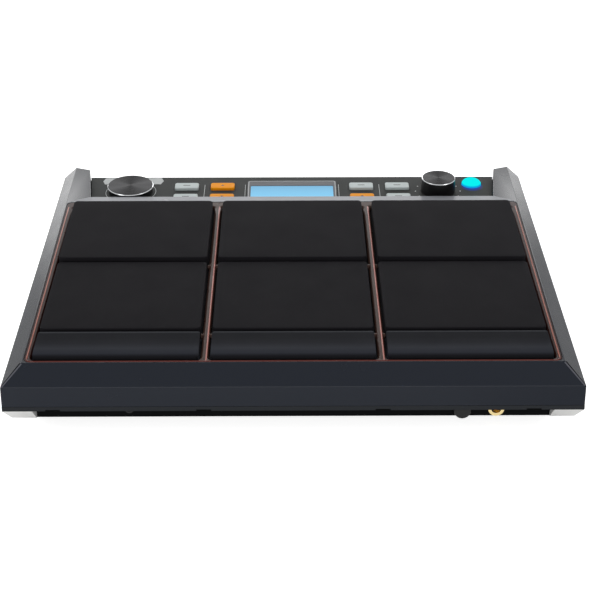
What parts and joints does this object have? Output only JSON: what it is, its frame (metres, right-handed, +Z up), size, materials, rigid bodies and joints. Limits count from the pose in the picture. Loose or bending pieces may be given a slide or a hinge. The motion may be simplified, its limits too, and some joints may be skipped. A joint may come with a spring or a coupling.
{
  "type": "electronic percussion pad",
  "caption": "Tilted drum pad controller with rubber pads in a red-tinted light frame, rounded front strips, a sunken rear panel with dial, knob, buttons and display, and a front jack bay.",
  "frame": {"origin": "middle of the footprint, on the table under the feet", "axes": "+X to the player's right, +Y away from the player, +Z up; the front lip faces -Y"},
  "size_m": [0.37, 0.298, 0.083],
  "materials": {
    "case_upper": "satin",
    "case_lower": "semi-gloss",
    "skirt_plastic": "satin",
    "panel": "satin, printed",
    "light_bars": "tinted, translucent",
    "pad_rubber": "fine matt grain",
    "strip_rubber": "smooth satin",
    "steel": "zinc plated",
    "foam": "closed-cell foam",
    "piezo": "disc",
    "light_strip": "populated strip",
    "board": "solder mask",
    "black_plastic": "satin",
    "pot_body": "moulded",
    "bezel": "satin",
    "display_glass": "lit",
    "gold": "gold plated",
    "nickel": "nickel plated",
    "foot_rubber": "matt",
    "brass_insert": "knurled",
    "grey_button": "satin",
    "orange_button": "satin",
    "lit_button": "lit, translucent",
    "spun_aluminium": "spun, bright chamfer"
  },
  "bodies": {
    "case": {"top_shell": "case_upper", "bottom_shell": "case_lower", "side_skirts": "skirt_plastic", "rear_plate": "black_plastic", "control_panel": "panel", "light_frame": "light_bars", "pad_deck": "black_plastic", "deck_screws": "steel", "pad_dampers": "foam", "piezo_sensors": "piezo", "led_strips": "light_strip", "main_board": "board", "panel_board": "board", "tact_switches": "black_plastic", "encoder_body": "pot_body", "volume_pot": "pot_body", "phones_pot": "pot_body", "lcd_module": "board", "lcd_bezel": "bezel", "lcd_window": "display_glass", "phones_jack": "gold", "aux_jack": "black_plastic", "line_out_jacks": "nickel", "trigger_in_jacks": "nickel", "usb_socket": "nickel", "dc_inlet": "black_plastic", "feet": "foot_rubber", "case_screws": "steel", "stand_inserts": "brass_insert"},
    "pad_back_left_body": {"pad_back_left": "pad_rubber", "plate_back_left": "steel"},
    "pad_back_center_body": {"pad_back_center": "pad_rubber", "plate_back_center": "steel"},
    "pad_back_right_body": {"pad_back_right": "pad_rubber", "plate_back_right": "steel"},
    "pad_mid_left_body": {"pad_mid_left": "pad_rubber", "plate_mid_left": "steel"},
    "pad_mid_center_body": {"pad_mid_center": "pad_rubber", "plate_mid_center": "steel"},
    "pad_mid_right_body": {"pad_mid_right": "pad_rubber", "plate_mid_right": "steel"},
    "strip_left_body": {"strip_left": "strip_rubber"},
    "strip_center_body": {"strip_center": "strip_rubber"},
    "strip_right_body": {"strip_right": "strip_rubber"},
    "button_1_body": {"button_1": "grey_button"},
    "button_2_body": {"button_2": "orange_button"},
    "button_3_body": {"button_3": "grey_button"},
    "button_4_body": {"button_4": "grey_button"},
    "button_5_body": {"button_5": "grey_button"},
    "button_6_body": {"button_6": "orange_button"},
    "button_7_body": {"button_7": "orange_button"},
    "button_8_body": {"button_8": "grey_button"},
    "power_button_body": {"power_button": "lit_button"},
    "data_dial": {"data_knob": "black_plastic", "data_knob_cap": "spun_aluminium", "encoder_shaft": "steel"},
    "volume_dial": {"volume_knob": "black_plastic", "volume_knob_cap": "spun_aluminium", "volume_shaft": "steel"},
    "phones_dial": {"phones_knob": "black_plastic"}
  },
  "joints": [
    {"name": "back_left_strike", "type": "slide", "parent": "case", "child": "pad_back_left_body", "axis": [0, 0.1219, -0.9925], "range_m": [0, 0.0008], "stiffness_N_per_m": 6000, "springref_m": -0.001, "deforming": ["pad_dampers"]},
    {"name": "back_center_strike", "type": "slide", "parent": "case", "child": "pad_back_center_body", "axis": [0, 0.1219, -0.9925], "range_m": [0, 0.0008], "stiffness_N_per_m": 6000, "springref_m": -0.001, "deforming": ["pad_dampers"]},
    {"name": "back_right_strike", "type": "slide", "parent": "case", "child": "pad_back_right_body", "axis": [0, 0.1219, -0.9925], "range_m": [0, 0.0008], "stiffness_N_per_m": 6000, "springref_m": -0.001, "deforming": ["pad_dampers"]},
    {"name": "mid_left_strike", "type": "slide", "parent": "case", "child": "pad_mid_left_body", "axis": [0, 0.1219, -0.9925], "range_m": [0, 0.0008], "stiffness_N_per_m": 6000, "springref_m": -0.001, "deforming": ["pad_dampers"]},
    {"name": "mid_center_strike", "type": "slide", "parent": "case", "child": "pad_mid_center_body", "axis": [0, 0.1219, -0.9925], "range_m": [0, 0.0008], "stiffness_N_per_m": 6000, "springref_m": -0.001, "deforming": ["pad_dampers"]},
    {"name": "mid_right_strike", "type": "slide", "parent": "case", "child": "pad_mid_right_body", "axis": [0, 0.1219, -0.9925], "range_m": [0, 0.0008], "stiffness_N_per_m": 6000, "springref_m": -0.001, "deforming": ["pad_dampers"]},
    {"name": "strip_left_strike", "type": "slide", "parent": "case", "child": "strip_left_body", "axis": [0, 0.1219, -0.9925], "range_m": [0, 0.0008], "stiffness_N_per_m": 3000, "springref_m": -0.001, "deforming": ["pad_dampers"]},
    {"name": "strip_center_strike", "type": "slide", "parent": "case", "child": "strip_center_body", "axis": [0, 0.1219, -0.9925], "range_m": [0, 0.0008], "stiffness_N_per_m": 3000, "springref_m": -0.001, "deforming": ["pad_dampers"]},
    {"name": "strip_right_strike", "type": "slide", "parent": "case", "child": "strip_right_body", "axis": [0, 0.1219, -0.9925], "range_m": [0, 0.0008], "stiffness_N_per_m": 3000, "springref_m": -0.001, "deforming": ["pad_dampers"]},
    {"name": "button_1_press", "type": "slide", "parent": "case", "child": "button_1_body", "axis": [0, 0.1219, -0.9925], "range_m": [0, 0.0005], "stiffness_N_per_m": 800, "springref_m": -0.0005},
    {"name": "button_2_press", "type": "slide", "parent": "case", "child": "button_2_body", "axis": [0, 0.1219, -0.9925], "range_m": [0, 0.0005], "stiffness_N_per_m": 800, "springref_m": -0.0005},
    {"name": "button_3_press", "type": "slide", "parent": "case", "child": "button_3_body", "axis": [0, 0.1219, -0.9925], "range_m": [0, 0.0005], "stiffness_N_per_m": 800, "springref_m": -0.0005},
    {"name": "button_4_press", "type": "slide", "parent": "case", "child": "button_4_body", "axis": [0, 0.1219, -0.9925], "range_m": [0, 0.0005], "stiffness_N_per_m": 800, "springref_m": -0.0005},
    {"name": "button_5_press", "type": "slide", "parent": "case", "child": "button_5_body", "axis": [0, 0.1219, -0.9925], "range_m": [0, 0.0005], "stiffness_N_per_m": 800, "springref_m": -0.0005},
    {"name": "button_6_press", "type": "slide", "parent": "case", "child": "button_6_body", "axis": [0, 0.1219, -0.9925], "range_m": [0, 0.0005], "stiffness_N_per_m": 800, "springref_m": -0.0005},
    {"name": "button_7_press", "type": "slide", "parent": "case", "child": "button_7_body", "axis": [0, 0.1219, -0.9925], "range_m": [0, 0.0005], "stiffness_N_per_m": 800, "springref_m": -0.0005},
    {"name": "button_8_press", "type": "slide", "parent": "case", "child": "button_8_body", "axis": [0, 0.1219, -0.9925], "range_m": [0, 0.0005], "stiffness_N_per_m": 800, "springref_m": -0.0005},
    {"name": "power_button_press", "type": "slide", "parent": "case", "child": "power_button_body", "axis": [0, 0.1219, -0.9925], "range_m": [0, 0.0005], "stiffness_N_per_m": 800, "springref_m": -0.0005},
    {"name": "data_turn", "type": "hinge", "parent": "case", "child": "data_dial", "pos_m": [-0.128, 0.12228, 0.06952], "axis": [0, -0.1219, 0.9925], "continuous": true},
    {"name": "volume_turn", "type": "hinge", "parent": "case", "child": "volume_dial", "pos_m": [0.116, 0.12228, 0.06952], "axis": [0, -0.1219, 0.9925], "range_deg": [-150, 150]},
    {"name": "phones_turn", "type": "hinge", "parent": "case", "child": "phones_dial", "pos_m": [0.1088, -0.134, 0.011], "axis": [0, -1, 0], "range_deg": [-140, 140]}
  ]
}
